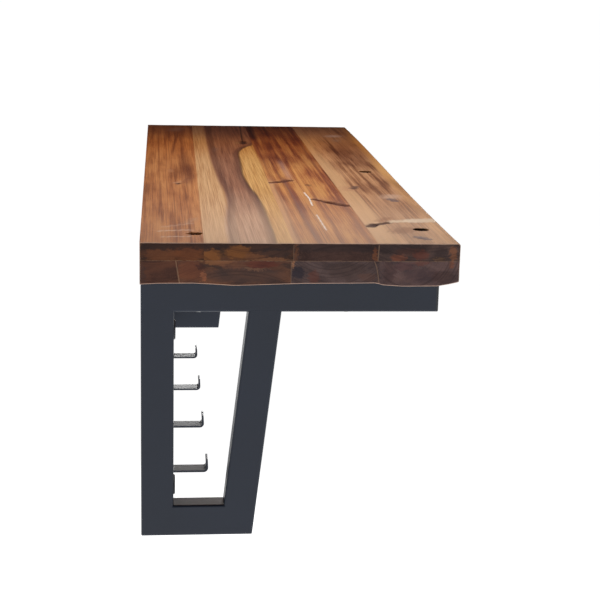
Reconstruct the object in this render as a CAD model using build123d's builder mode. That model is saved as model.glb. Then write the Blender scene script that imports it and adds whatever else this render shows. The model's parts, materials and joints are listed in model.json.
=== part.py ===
"""Wall-hung entryway bench: a glued two-layer hardwood slab on two welded tube brackets.

The frame of the model: X runs along the bench, the wall is the plane Y = 0 with the bench in
front of it towards -Y, and Z is up. The origin is the centre of the four wall screw holes.
All sizes are in millimetres.
"""

from build123d import *
import math
import os

os.makedirs("parts", exist_ok=True)

# ---------------------------------------------------------------- driving dimensions
SLAB_LENGTH = 1200.0
SLAB_THICKNESS = 49.0
TOP_LAYER = 21.0                    # upper layer of the glued slab
SLAB_TOP_Z = 224.0                  # slab top above the wall screw centre
BRACKET_DROP = 387.0                # slab top to the underside of a bracket
BRACKET_INSET = 70.5                # slab end to the outside of a bracket
ARM_REACH = 362.0                   # wall to the front end of an arm

TUBE_WIDTH = 30.0                   # every tube, measured along X in a bracket
TUBE_DEPTH = 40.0                   # post, foot, strut and rails
ARM_DEPTH = 50.0                    # the arm is the deeper tube
TUBE_WALL = 2.0
TUBE_RADIUS = 3.0                   # outer corner radius of the tubes
CORNER_FLAT = 1.6                   # weld corners are ground back by this much
STRUT_SPARE = 25.0                  # extra tube at each end of a strut, cut off by its mitres
STRUT_COPE = 2.1                    # a strut's sides reach this far up round the arm's lower corners

FOOT_REACH = 138.5                  # wall to the foot's lower front corner
STRUT_REACH = 170.0                 # wall to the strut's front edge, under the arm

HOOK_COUNT = 4
HOOK_SPACING = 195.5
HOOK_WIDTH = 24.0
HOOK_REACH = 91.0                   # wall to the outside of a hook's tip
HOOK_TIP_HEIGHT = 17.5              # hook underside to the top of its tip
HOOK_TIP_LEAN = 3.0                 # degrees, towards the wall
SHEET = 3.0                         # thickness of the bent hook plate
BEND_RADIUS = 3.5                   # inner radius of the hook plate's bends
HOOK_PLATE_HEIGHT = 60.0
PLATE_END_GAP = 0.5                 # between the hook plate and each bracket
PLATE_CORNER = 2.0                  # radius of the hook plate's upper corners

# distances from the wall of the glue joints: left end, right end
TOP_JOINTS = [(73.0, 86.0), (176.0, 190.0), (274.0, 283.0)]
BASE_JOINTS = [(43.5, 43.5), (173.5, 173.5), (276.0, 276.0)]
# the natural front edge of the slab: distance from the left end, distance from the wall
LIVE_EDGE = [
    (0.0, 371.5),
    (200.0, 371.8),
    (400.0, 376.0),
    (600.0, 381.0),
    (850.0, 386.0),
    (1200.0, 391.8),
]
LIVE_EDGE_ROUND = 2.5               # round on the upper front arris
WANE_WIDTH = 19.0                   # chamfer under the front edge, along Y
WANE_HEIGHT = 4.0                   # and along Z
END_ARRIS = 1.0                     # chamfer on the other upper arrises

WALL_HOLE_PITCH = 200.0             # between the two wall holes of a post
WALL_HOLE = 9.0                     # clears an M8 wall screw
ACCESS_HOLE = 20.0                  # lets the screw head in through the front wall
CAP_FLANGE = 25.0
CAP_FLANGE_THICKNESS = 2.0
CAP_STEM_GAP = 0.4
CAP_STEM_LENGTH = 6.0
CAP_WALL = 1.5
CAP_FLOOR = 1.5                     # thickness of a cap's closed face
CAP_ROUND = 1.1                     # bevel round a cap's face

BOLT_PLACES = [(-510.0, 340.0), (-20.0, 342.0)]     # X, distance from the wall
COUNTERBORE = 20.0
COUNTERBORE_DEPTH = 15.0
BOLT = 8.0                          # M8 socket head cap screw
BOLT_LENGTH = 50.0
BOLT_HEAD = 13.0
BOLT_SOCKET = 6.0                   # across flats
BOLT_SOCKET_DEPTH = 4.0
BOLT_ARRIS = 0.6                    # bevel round the bolt's head
BOLT_TIP = 1.0                      # bevel at the end of the thread
BOLT_CLEARANCE = 9.0
WASHER = 16.0
WASHER_THICKNESS = 1.6
NUT_FLANGE = 12.5                   # rivet nut set in the tube's upper wall
NUT_FLANGE_THICKNESS = 1.2
NUT_BODY = 11.0
NUT_LENGTH = 14.0
NUT_RECESS = 14.0
NUT_BORE = 8.3

WOOD_SCREW = 5.0
WOOD_SCREW_HEAD = 10.0
WOOD_SCREW_HEAD_HEIGHT = 2.6
WOOD_SCREW_BEVEL = 1.4              # bevel round the pan head
WOOD_SCREW_BITE = 25.0              # length of thread in the slab
SCREW_GAP = 0.2                     # added to the screw's diameter for its hole
ARM_SCREWS = [70.0, 250.0]          # distance from the wall
REAR_RAIL_SCREWS = [-300.0, 0.0, 300.0]
FRONT_RAIL_SCREWS = [-300.0, 300.0]

PLATE_SCREW = 5.0                   # countersunk, flush with the hook plate
PLATE_SCREW_HEAD = 9.0
PLATE_SCREW_SINK = 0.2              # the head lies this far below the plate's face
PLATE_SCREW_GAP = 0.3               # between the head's cone and its seat, along Z
PLATE_SCREW_SOCKET = 3.0
PLATE_SCREW_SOCKET_DEPTH = 1.8
PLATE_SCREW_LENGTH = 12.0
PLATE_SCREW_TIP = 1.0

END_CAP_PLATE = 3.0                 # the part of an end cap that shows
END_CAP_PLUG = 12.0
END_CAP_GAP = 0.3
END_CAP_WALL = 2.0
END_CAP_ARRIS = 0.6                 # bevel round the outside of an end cap
END_CAP_PLUG_RADIUS = 1.0

# ---------------------------------------------------------------- derived places
HALF = SLAB_LENGTH / 2
SLAB_BOTTOM_Z = SLAB_TOP_Z - SLAB_THICKNESS
LAYER_Z = SLAB_TOP_Z - TOP_LAYER
ARM_BOTTOM_Z = SLAB_BOTTOM_Z - ARM_DEPTH
FLOOR_Z = SLAB_TOP_Z - BRACKET_DROP
FOOT_TOP_Z = FLOOR_Z + TUBE_DEPTH
BRACKET_X = HALF - BRACKET_INSET - TUBE_WIDTH / 2
RAIL_LENGTH = 2 * BRACKET_X - TUBE_WIDTH
STRUT_SLOPE = (STRUT_REACH - FOOT_REACH) / (ARM_BOTTOM_Z - FLOOR_Z)
STRUT_TILT = math.atan(STRUT_SLOPE)
STRUT_INNER_FOOT = FOOT_REACH + STRUT_SLOPE * TUBE_DEPTH - TUBE_DEPTH / math.cos(STRUT_TILT)
FRONT_WALL_Y = -TUBE_DEPTH          # the front of the posts and of the hook plate
HOOK_RAIL_Y = FRONT_WALL_Y + SHEET  # the front of the hook rail, behind the plate
WALL_HOLE_ZS = [-WALL_HOLE_PITCH / 2, WALL_HOLE_PITCH / 2]
REAR_RAIL_REACH = TUBE_DEPTH / 2
FRONT_RAIL_REACH = ARM_REACH - TUBE_DEPTH / 2
PILOT_HOLE = WOOD_SCREW + SCREW_GAP
PILOT_DEPTH = WOOD_SCREW_BITE + SCREW_GAP
HOOK_XS = [(i - (HOOK_COUNT - 1) / 2) * HOOK_SPACING for i in range(HOOK_COUNT)]
PLATE_SCREW_XS = [(i - HOOK_COUNT / 2) * HOOK_SPACING for i in range(HOOK_COUNT + 1)]
PLATE_SCREW_Z = (FLOOR_Z + FOOT_TOP_Z) / 2


def save(piece, name):
    piece.part.label = name
    export_step(piece.part, f"parts/{name}.step")
    print(f"{name}: {piece.part.volume:.0f} mm3")


# ---------------------------------------------------------------- the slab
def along(line, x):
    """Distance from the wall of a straight joint line at place x."""
    left, right = line
    return left + (right - left) * (x + HALF) / SLAB_LENGTH


def drill(x, y, z, diameter, depth, direction):
    """Cut a round hole into the current part, from a point and along a direction."""
    with BuildSketch(Plane(origin=(x, y, z), z_dir=direction)) as mouth:
        Circle(diameter / 2)
    extrude(mouth.sketch, amount=depth, mode=Mode.SUBTRACT)


def plank(back, front, bottom_z, top_z, arris):
    """One glued board between two joint lines, with its end arrises taken off."""
    with BuildPart() as board:
        with BuildSketch(Plane.XY.offset(bottom_z)):
            with BuildLine():
                corners = [
                    (-HALF, -along(back, -HALF)),
                    (HALF, -along(back, HALF)),
                    (HALF, -along(front, HALF)),
                    (-HALF, -along(front, -HALF)),
                ]
                Polyline(*corners, close=True)
            make_face()
        extrude(amount=top_z - bottom_z)
        if arris:
            upper = board.faces().sort_by(Axis.Z)[-1]
            ends = upper.edges().sort_by(Axis.X)
            chamfer([ends[0], ends[-1]], length=END_ARRIS)
    return board


def front_board(back, bottom_z, top_z, upper):
    """The board at the natural front edge: rounded above, waney below."""
    with BuildPart() as board:
        with BuildSketch(Plane.XY.offset(bottom_z)):
            with BuildLine():
                edge = [(place - HALF, -reach) for place, reach in LIVE_EDGE]
                Spline(*edge)
                rear = [(-HALF, -along(back, -HALF)), (HALF, -along(back, HALF))]
                Polyline(edge[0], rear[0], rear[1], edge[-1])
            make_face()
        extrude(amount=top_z - bottom_z)
        side = board.faces().sort_by(Axis.Y)[0]
        if upper:
            fillet(side.edges().sort_by(Axis.Z)[-1], radius=LIVE_EDGE_ROUND)
            for x, reach in BOLT_PLACES:
                drill(x, -reach, top_z, COUNTERBORE, COUNTERBORE_DEPTH, (0, 0, -1))
                drill(x, -reach, top_z, BOLT_CLEARANCE, top_z - bottom_z, (0, 0, -1))
        else:
            under = board.faces().sort_by(Axis.Z)[0]
            lower = side.edges().sort_by(Axis.Z)[0]
            chamfer(lower, length=WANE_WIDTH, length2=WANE_HEIGHT, reference=under)
            for x, reach in BOLT_PLACES:
                drill(x, -reach, bottom_z, BOLT_CLEARANCE, top_z - bottom_z, (0, 0, 1))
                drill(x, -reach, bottom_z, NUT_RECESS, 2 * NUT_FLANGE_THICKNESS, (0, 0, 1))
            for x in FRONT_RAIL_SCREWS:
                drill(x, -FRONT_RAIL_REACH, bottom_z, PILOT_HOLE, PILOT_DEPTH, (0, 0, 1))
    return board


def pilot_holes(board, places):
    """Screw holes in a base strip's underside, at (x, distance from the wall)."""
    with BuildPart() as drilled:
        add(board.part)
        for x, reach in places:
            drill(x, -reach, SLAB_BOTTOM_Z, PILOT_HOLE, PILOT_DEPTH, (0, 0, 1))
    return drilled


BACK_EDGE = (0.0, 0.0)
save(plank(BACK_EDGE, TOP_JOINTS[0], LAYER_Z, SLAB_TOP_Z, True), "top_plank_back")
save(plank(TOP_JOINTS[0], TOP_JOINTS[1], LAYER_Z, SLAB_TOP_Z, True), "top_plank_centre_back")
save(plank(TOP_JOINTS[1], TOP_JOINTS[2], LAYER_Z, SLAB_TOP_Z, True), "top_plank_centre_front")
save(front_board(TOP_JOINTS[2], LAYER_Z, SLAB_TOP_Z, True), "top_plank_front")

rear_places = [(x, REAR_RAIL_REACH) for x in REAR_RAIL_SCREWS]
arm_places = [[(side * BRACKET_X, reach) for side in (-1, 1)] for reach in ARM_SCREWS]
base_back = plank(BACK_EDGE, BASE_JOINTS[0], SLAB_BOTTOM_Z, LAYER_Z, False)
base_centre_back = plank(BASE_JOINTS[0], BASE_JOINTS[1], SLAB_BOTTOM_Z, LAYER_Z, False)
base_centre_front = plank(BASE_JOINTS[1], BASE_JOINTS[2], SLAB_BOTTOM_Z, LAYER_Z, False)
save(pilot_holes(base_back, rear_places), "base_strip_back")
save(pilot_holes(base_centre_back, arm_places[0]), "base_strip_centre_back")
save(pilot_holes(base_centre_front, arm_places[1]), "base_strip_centre_front")
save(front_board(BASE_JOINTS[2], SLAB_BOTTOM_Z, LAYER_Z, False), "base_strip_front")


# ---------------------------------------------------------------- the welded brackets
def cut_plane(first, second, keep):
    """The X-parallel plane through two (reach, z) points, facing the point to keep."""
    dy = -(second[0] - first[0])
    dz = second[1] - first[1]
    normal = Vector(0, dz, -dy)
    towards = Vector(0, -(keep[0] - first[0]), keep[1] - first[1])
    if normal.dot(towards) < 0:
        normal = -normal
    return Plane(origin=(0, -first[0], first[1]), x_dir=(1, 0, 0), z_dir=normal)


def tube(plane, width, depth, length, cuts=(), holes=()):
    """A rectangular tube along a plane's normal, trimmed by planes and drilled."""
    with BuildPart() as piece:
        with BuildSketch(plane):
            RectangleRounded(width, depth, TUBE_RADIUS)
            inside = TUBE_RADIUS - TUBE_WALL
            RectangleRounded(width - 2 * TUBE_WALL, depth - 2 * TUBE_WALL, inside, mode=Mode.SUBTRACT)
        extrude(amount=length)
        for cut in cuts:
            split(bisect_by=cut, keep=Keep.TOP)
        for x, y, z, diameter, depth_of_hole, direction in holes:
            drill(x, y, z, diameter, depth_of_hole, direction)
    return piece


TOP_REAR = (0.0, SLAB_BOTTOM_Z)
WINDOW_TOP = (TUBE_DEPTH, ARM_BOTTOM_Z)
LOW_REAR = (0.0, FLOOR_Z)
WINDOW_LOW = (TUBE_DEPTH, FOOT_TOP_Z)
LOW_FRONT = (FOOT_REACH, FLOOR_Z)
WINDOW_LOW_FRONT = (STRUT_INNER_FOOT, FOOT_TOP_Z)
WINDOW_CENTRE = ((TUBE_DEPTH + STRUT_INNER_FOOT) / 2, 0.0)
FLAT_Z = FLOOR_Z + CORNER_FLAT
REAR_FLAT = [(CORNER_FLAT, FLOOR_Z), (0.0, FLAT_Z)]
FRONT_FLAT = [(FOOT_REACH - CORNER_FLAT, FLOOR_Z), (FOOT_REACH + STRUT_SLOPE * CORNER_FLAT, FLAT_Z)]


def bracket(x, side):
    """The four mitred and welded tubes of one bracket, and its front end cap."""
    wall_holes = []
    for z in WALL_HOLE_ZS:
        wall_holes.append((x, 0, z, WALL_HOLE, TUBE_WALL, (0, -1, 0)))
        wall_holes.append((x, FRONT_WALL_Y, z, ACCESS_HOLE, TUBE_WALL, (0, 1, 0)))
    post_plane = Plane(origin=(x, -TUBE_DEPTH / 2, FLOOR_Z), x_dir=(1, 0, 0), z_dir=(0, 0, 1))
    post_cuts = [
        cut_plane(TOP_REAR, WINDOW_TOP, LOW_REAR),
        cut_plane(LOW_REAR, WINDOW_LOW, TOP_REAR),
        cut_plane(REAR_FLAT[0], REAR_FLAT[1], WINDOW_CENTRE),
    ]
    post = tube(post_plane, TUBE_WIDTH, TUBE_DEPTH, SLAB_BOTTOM_Z - FLOOR_Z, post_cuts, wall_holes)
    save(post, f"{side}_post")

    arm_z = SLAB_BOTTOM_Z - ARM_DEPTH / 2
    arm_plane = Plane(origin=(x, 0, arm_z), x_dir=(1, 0, 0), z_dir=(0, -1, 0))
    arm_holes = []
    for reach in ARM_SCREWS:
        for z in (ARM_BOTTOM_Z, SLAB_BOTTOM_Z - TUBE_WALL):
            arm_holes.append((x, -reach, z, PILOT_HOLE, TUBE_WALL, (0, 0, 1)))
    for bolt_x, reach in BOLT_PLACES:
        if abs(bolt_x - x) < TUBE_WIDTH / 2:
            arm_holes.append((bolt_x, -reach, SLAB_BOTTOM_Z, NUT_BODY, TUBE_WALL, (0, 0, -1)))
    arm_cuts = [cut_plane(TOP_REAR, WINDOW_TOP, (ARM_REACH, SLAB_BOTTOM_Z))]
    arm = tube(arm_plane, TUBE_WIDTH, ARM_DEPTH, ARM_REACH - END_CAP_PLATE, arm_cuts, arm_holes)
    save(arm, f"{side}_arm")

    foot_plane = Plane(origin=(x, 0, FLOOR_Z + TUBE_DEPTH / 2), x_dir=(1, 0, 0), z_dir=(0, -1, 0))
    foot_cuts = [
        cut_plane(LOW_REAR, WINDOW_LOW, LOW_FRONT),
        cut_plane(LOW_FRONT, WINDOW_LOW_FRONT, LOW_REAR),
        cut_plane(REAR_FLAT[0], REAR_FLAT[1], WINDOW_CENTRE),
        cut_plane(FRONT_FLAT[0], FRONT_FLAT[1], WINDOW_CENTRE),
    ]
    foot = tube(foot_plane, TUBE_WIDTH, TUBE_DEPTH, FOOT_REACH, foot_cuts)
    save(foot, f"{side}_foot")

    axis = Vector(0, -math.sin(STRUT_TILT), math.cos(STRUT_TILT))
    low_centre = Vector(x, -(FOOT_REACH - TUBE_DEPTH / 2 / math.cos(STRUT_TILT)), FLOOR_Z)
    strut_plane = Plane(origin=low_centre - axis * STRUT_SPARE, x_dir=(1, 0, 0), z_dir=axis)
    cope_z = ARM_BOTTOM_Z + STRUT_COPE
    strut_cuts = [
        cut_plane((0, cope_z), (ARM_REACH, cope_z), WINDOW_CENTRE),
        cut_plane(LOW_FRONT, WINDOW_LOW_FRONT, (STRUT_REACH, ARM_BOTTOM_Z)),
        cut_plane(FRONT_FLAT[0], FRONT_FLAT[1], WINDOW_CENTRE),
    ]
    strut_length = ARM_BOTTOM_Z - FLOOR_Z + 2 * STRUT_SPARE
    blank = tube(strut_plane, TUBE_WIDTH, TUBE_DEPTH, strut_length, strut_cuts)
    with BuildPart() as strut:
        add(blank.part)
        with BuildSketch(arm_plane):
            RectangleRounded(TUBE_WIDTH, ARM_DEPTH, TUBE_RADIUS)
        extrude(amount=ARM_REACH, mode=Mode.SUBTRACT)
    save(strut, f"{side}_strut")

    end_plane = Plane(origin=(x, -ARM_REACH, arm_z), x_dir=(1, 0, 0), z_dir=(0, 1, 0))
    plug = 2 * (TUBE_WALL + END_CAP_GAP)
    hollow = plug + 2 * END_CAP_WALL
    with BuildPart() as cap:
        with BuildSketch(end_plane):
            RectangleRounded(TUBE_WIDTH, ARM_DEPTH, TUBE_RADIUS)
        extrude(amount=END_CAP_PLATE)
        outer_face = cap.faces().sort_by(Axis.Y)[0]
        chamfer(outer_face.edges(), length=END_CAP_ARRIS)
        with BuildSketch(end_plane.offset(END_CAP_PLATE)):
            RectangleRounded(TUBE_WIDTH - plug, ARM_DEPTH - plug, END_CAP_PLUG_RADIUS)
            inner = (TUBE_WIDTH - hollow, ARM_DEPTH - hollow)
            RectangleRounded(*inner, END_CAP_PLUG_RADIUS, mode=Mode.SUBTRACT)
        extrude(amount=END_CAP_PLUG)
    save(cap, f"{side}_arm_end_cap")


bracket(-BRACKET_X, "left")
bracket(BRACKET_X, "right")


# ---------------------------------------------------------------- the rails between the brackets
def rail(reach, z, width, depth, holes):
    """A tube along X between the brackets, its section centred at (reach, z)."""
    plane = Plane(origin=(-RAIL_LENGTH / 2, -reach, z), x_dir=(0, 1, 0), z_dir=(1, 0, 0))
    return tube(plane, width, depth, RAIL_LENGTH, (), holes)


def screw_holes(xs, reach):
    """Holes for wood screws through the lower and the upper wall of a slab rail."""
    holes = []
    for x in xs:
        for z in (SLAB_BOTTOM_Z - TUBE_WIDTH, SLAB_BOTTOM_Z - TUBE_WALL):
            holes.append((x, -reach, z, PILOT_HOLE, TUBE_WALL, (0, 0, 1)))
    return holes


slab_rail_z = SLAB_BOTTOM_Z - TUBE_WIDTH / 2
rear_holes = screw_holes(REAR_RAIL_SCREWS, REAR_RAIL_REACH)
front_holes = screw_holes(FRONT_RAIL_SCREWS, FRONT_RAIL_REACH)
bolt_x, bolt_reach = BOLT_PLACES[1]
front_holes.append((bolt_x, -bolt_reach, SLAB_BOTTOM_Z, NUT_BODY, TUBE_WALL, (0, 0, -1)))
save(rail(REAR_RAIL_REACH, slab_rail_z, TUBE_DEPTH, TUBE_WIDTH, rear_holes), "rear_slab_rail")
save(rail(FRONT_RAIL_REACH, slab_rail_z, TUBE_DEPTH, TUBE_WIDTH, front_holes), "front_slab_rail")

hook_rail_holes = []
for x in PLATE_SCREW_XS:
    screw_hole = PLATE_SCREW + SCREW_GAP
    hook_rail_holes.append((x, HOOK_RAIL_Y, PLATE_SCREW_Z, screw_hole, TUBE_WALL, (0, 1, 0)))
hook_rail_reach = TUBE_DEPTH - SHEET - TUBE_WIDTH / 2
save(rail(hook_rail_reach, PLATE_SCREW_Z, TUBE_WIDTH, TUBE_DEPTH, hook_rail_holes), "hook_rail")

# ---------------------------------------------------------------- the hook plate, bent from one sheet
with BuildPart() as hook_plate:
    outer = BEND_RADIUS + SHEET
    plate_low = FLOOR_Z + outer
    plate_length = RAIL_LENGTH - 2 * PLATE_END_GAP
    with BuildSketch(Plane(origin=(0, HOOK_RAIL_Y, plate_low), x_dir=(1, 0, 0), z_dir=(0, -1, 0))):
        Rectangle(plate_length, HOOK_PLATE_HEIGHT, align=(Align.CENTER, Align.MIN))
    extrude(amount=SHEET)
    corners = hook_plate.edges().filter_by(Axis.Y).group_by(Axis.Z)[-1]
    fillet(corners, radius=PLATE_CORNER)
    plate_face = Plane(origin=(0, FRONT_WALL_Y, PLATE_SCREW_Z), x_dir=(1, 0, 0), z_dir=(0, -1, 0))
    with Locations(plate_face):
        with Locations(*[(x, 0) for x in PLATE_SCREW_XS]):
            seat_radius = PLATE_SCREW_HEAD / 2 + PLATE_SCREW_GAP
            CounterSinkHole(PLATE_SCREW / 2 + SCREW_GAP, seat_radius, SHEET, counter_sink_angle=90)
    floor_run = HOOK_REACH - (TUBE_DEPTH - SHEET) - 2 * outer
    tip_run = HOOK_TIP_HEIGHT - outer
    for hook_x in HOOK_XS:
        section = Plane(origin=(hook_x, 0, 0), x_dir=(0, -1, 0), z_dir=(-1, 0, 0))
        with BuildSketch(section):
            with BuildLine():
                start = (TUBE_DEPTH - SHEET / 2, plate_low)
                bend = BEND_RADIUS + SHEET / 2
                flat_z = FLOOR_Z + SHEET / 2
                heel = (start[0] + bend, flat_z)
                toe = (heel[0] + floor_run, flat_z)
                turn = 90 + HOOK_TIP_LEAN
                RadiusArc(start, heel, -bend)
                Line(heel, toe)
                rise = JernArc(start=toe, tangent=(1, 0), radius=bend, arc_size=turn)
                Line(rise @ 1, (rise @ 1) + (rise % 1) * tip_run)
                offset(amount=SHEET / 2, side=Side.BOTH)
            make_face()
        extrude(amount=HOOK_WIDTH / 2, both=True)
save(hook_plate, "hook_plate")


# ---------------------------------------------------------------- fasteners and small plastic parts
def revolved(outline, places, name, axis_direction, socket=0.0, socket_depth=0.0):
    """Identical round pieces: an (radius, height) outline turned about each place."""
    with BuildPart() as group:
        for x, y, z in places:
            base = Plane(origin=(x, y, z), z_dir=axis_direction)
            side = Plane(origin=(x, y, z), x_dir=base.x_dir, z_dir=-base.y_dir)
            with BuildSketch(side):
                with BuildLine():
                    Polyline(*outline, close=True)
                make_face()
            revolve(axis=Axis((x, y, z), axis_direction))
            if socket:
                with BuildSketch(base):
                    RegularPolygon(socket / 2, 6, major_radius=False)
                extrude(amount=-socket_depth, mode=Mode.SUBTRACT)
    save(group, name)


seat_z = SLAB_TOP_Z - COUNTERBORE_DEPTH
bolt_seats = [(x, -reach, seat_z + WASHER_THICKNESS + BOLT) for x, reach in BOLT_PLACES]
bolt_end = -BOLT - BOLT_LENGTH
bolt_outline = [
    (0, 0),
    (BOLT_HEAD / 2 - BOLT_ARRIS, 0),
    (BOLT_HEAD / 2, -BOLT_ARRIS),
    (BOLT_HEAD / 2, -BOLT),
    (BOLT / 2, -BOLT),
    (BOLT / 2, bolt_end + BOLT_TIP),
    (BOLT / 2 - BOLT_TIP, bolt_end),
    (0, bolt_end),
]
revolved(bolt_outline, bolt_seats, "slab_bolts", (0, 0, 1), BOLT_SOCKET, BOLT_SOCKET_DEPTH)

washer_seats = [(x, -reach, seat_z) for x, reach in BOLT_PLACES]
washer_outline = [
    (BOLT_CLEARANCE / 2, 0),
    (WASHER / 2, 0),
    (WASHER / 2, WASHER_THICKNESS),
    (BOLT_CLEARANCE / 2, WASHER_THICKNESS),
]
revolved(washer_outline, washer_seats, "slab_bolt_washers", (0, 0, 1))

nut_seats = [(x, -reach, SLAB_BOTTOM_Z) for x, reach in BOLT_PLACES]
body_radius = NUT_BODY / 2 - SCREW_GAP / 2
nut_outline = [
    (NUT_BORE / 2, NUT_FLANGE_THICKNESS),
    (NUT_FLANGE / 2, NUT_FLANGE_THICKNESS),
    (NUT_FLANGE / 2, 0),
    (body_radius, 0),
    (body_radius, -NUT_LENGTH),
    (NUT_BORE / 2, -NUT_LENGTH),
]
revolved(nut_outline, nut_seats, "rivet_nuts", (0, 0, 1))


def wood_screw_outline(length):
    """Pan head screw pointing up: the head's seat is at height 0."""
    shank = WOOD_SCREW / 2
    head = WOOD_SCREW_HEAD / 2
    return [
        (0, -WOOD_SCREW_HEAD_HEIGHT),
        (head - WOOD_SCREW_BEVEL, -WOOD_SCREW_HEAD_HEIGHT),
        (head, WOOD_SCREW_BEVEL - WOOD_SCREW_HEAD_HEIGHT),
        (head, 0),
        (shank, 0),
        (shank, length - 2 * shank),
        (0, length),
    ]


arm_seats = [(side * BRACKET_X, -reach, ARM_BOTTOM_Z) for side in (-1, 1) for reach in ARM_SCREWS]
revolved(wood_screw_outline(ARM_DEPTH + WOOD_SCREW_BITE), arm_seats, "arm_wood_screws", (0, 0, 1))
rail_seats = [(x, -REAR_RAIL_REACH, SLAB_BOTTOM_Z - TUBE_WIDTH) for x in REAR_RAIL_SCREWS]
rail_seats += [(x, -FRONT_RAIL_REACH, SLAB_BOTTOM_Z - TUBE_WIDTH) for x in FRONT_RAIL_SCREWS]
revolved(wood_screw_outline(TUBE_WIDTH + WOOD_SCREW_BITE), rail_seats, "rail_wood_screws", (0, 0, 1))

head_top_y = FRONT_WALL_Y + PLATE_SCREW_SINK
plate_seats = [(x, head_top_y, PLATE_SCREW_Z) for x in PLATE_SCREW_XS]
head_radius = PLATE_SCREW_HEAD / 2
shank_radius = PLATE_SCREW / 2
plate_tip = -PLATE_SCREW_LENGTH
plate_outline = [
    (0, 0),
    (head_radius, 0),
    (shank_radius, shank_radius - head_radius),
    (shank_radius, plate_tip + PLATE_SCREW_TIP),
    (shank_radius - PLATE_SCREW_TIP, plate_tip),
    (0, plate_tip),
]
socket = (PLATE_SCREW_SOCKET, PLATE_SCREW_SOCKET_DEPTH)
revolved(plate_outline, plate_seats, "hook_plate_screws", (0, -1, 0), *socket)

cap_xs = [-BRACKET_X, BRACKET_X]
cap_places = [(x, FRONT_WALL_Y, z) for x in cap_xs for z in WALL_HOLE_ZS]
stem = (ACCESS_HOLE - CAP_STEM_GAP) / 2
cap_rim = CAP_FLANGE / 2
cap_inside = CAP_FLANGE_THICKNESS - CAP_FLOOR
cap_outline = [
    (0, CAP_FLANGE_THICKNESS),
    (cap_rim - CAP_ROUND, CAP_FLANGE_THICKNESS),
    (cap_rim, CAP_FLANGE_THICKNESS - CAP_ROUND),
    (cap_rim, 0),
    (stem, 0),
    (stem, -CAP_STEM_LENGTH),
    (stem - CAP_WALL, -CAP_STEM_LENGTH),
    (stem - CAP_WALL, cap_inside),
    (0, cap_inside),
]
revolved(cap_outline, cap_places, "access_hole_caps", (0, -1, 0))
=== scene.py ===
"""Looks of the wall-hung entryway bench, built round its CAD frame.

The eight boards of the slab get detailed meshes and a wood that runs through their thickness.
The steel, the fasteners and the caps keep their CAD shapes and get finished materials.
Wood is laid out in slab millimetres: x from the left end, u from the wall, v up from the slab's top.
"""

import json
import math
from collections import namedtuple

import bpy
import numpy as np
from mathutils import Matrix, Vector


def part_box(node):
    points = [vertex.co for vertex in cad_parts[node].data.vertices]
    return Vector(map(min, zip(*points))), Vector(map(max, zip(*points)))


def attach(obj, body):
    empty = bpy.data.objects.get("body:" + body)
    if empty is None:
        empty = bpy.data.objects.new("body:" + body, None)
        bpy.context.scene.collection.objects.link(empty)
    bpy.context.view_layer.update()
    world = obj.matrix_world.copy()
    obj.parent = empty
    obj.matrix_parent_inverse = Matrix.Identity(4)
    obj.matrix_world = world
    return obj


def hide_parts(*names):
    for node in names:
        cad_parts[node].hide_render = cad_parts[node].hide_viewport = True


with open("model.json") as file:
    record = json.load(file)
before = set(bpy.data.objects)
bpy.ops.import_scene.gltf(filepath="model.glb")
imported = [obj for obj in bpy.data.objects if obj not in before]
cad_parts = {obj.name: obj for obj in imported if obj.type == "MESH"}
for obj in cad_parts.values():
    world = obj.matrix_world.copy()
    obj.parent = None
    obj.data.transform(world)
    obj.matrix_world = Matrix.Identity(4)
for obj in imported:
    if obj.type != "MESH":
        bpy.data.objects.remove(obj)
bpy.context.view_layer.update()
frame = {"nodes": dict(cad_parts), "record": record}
MM = 0.001

# ------------------------------------------------------------------ the slab's places, from the frame
slab_low, slab_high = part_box("top_plank_back")
LENGTH = (slab_high.x - slab_low.x) / MM
HALF = LENGTH / 2
TOP_Z = slab_high.z / MM
LAYER = (slab_low.z - slab_high.z) / MM                         # v of the glue plane
BOTTOM = (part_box("base_strip_back")[0].z - slab_high.z) / MM    # v of the underside
FRONT = -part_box("top_plank_front")[0].y / MM                    # furthest reach of the natural edge
ARM_START = (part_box("left_arm")[0].x - slab_low.x) / MM         # x where the first arm begins

TOP_JOINTS = [(0.0, 0.0), (73.0, 86.0), (176.0, 190.0), (274.0, 283.0)]      # u at the left and right end
BASE_JOINTS = [(0.0, 0.0), (43.5, 43.5), (173.5, 173.5), (276.0, 276.0)]
LIVE_EDGE = [(0.0, 371.5), (200.0, 371.8), (400.0, 376.0), (600.0, 381.0), (850.0, 386.0), (1200.0, 391.8)]
EDGE_ROUND = 2.6                                                # round on the natural edge's upper arris
EDGE_SETBACK = 0.6                                              # keeps the rippled edge inside the CAD board
EDGE_RIPPLE = 0.1
EDGE_LEVELS = 7                                                 # points up the natural edge
UNDERCUT, CORNER_EASE = 2.0, 0.8                                # how the natural edge meets the underside
TOP_SAMPLES, BASE_SAMPLES = 58, 24                              # points across a board's top or underside
TOP_STEP, BASE_STEP = 5.0, 12.0                                 # between a board's cross-sections
MARK_STEP = 1.5                                                 # and across its sunken marks
MARK_MARGIN = 4                                                 # beyond the mark on either side
SUNKEN = 0.45                                                   # a mark deeper than this gets the closer step
TOP_DROP, SANDING_WAVE = 0.12, 0.1                              # planed top below the CAD's, and its waviness
DRILL_SPARE, DRILL_SIDES = 3.0, 48                              # a cut starts this far outside the board
CREASE = 32                                                     # degrees: sharper edges stay sharp
WANE_WIDTH, WANE_HEIGHT = 19.0, 4.0
ARRIS = 1.2                                                     # bevel round both ends of the slab
BOLT_PLACES = [(90.0, 340.0), (580.0, 342.0)]
COUNTERBORE, COUNTERBORE_DEPTH, CLEARANCE = 20.0, 15.0, 9.0
NUT_RECESS, NUT_RECESS_DEPTH = 14.0, 2.4


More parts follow.
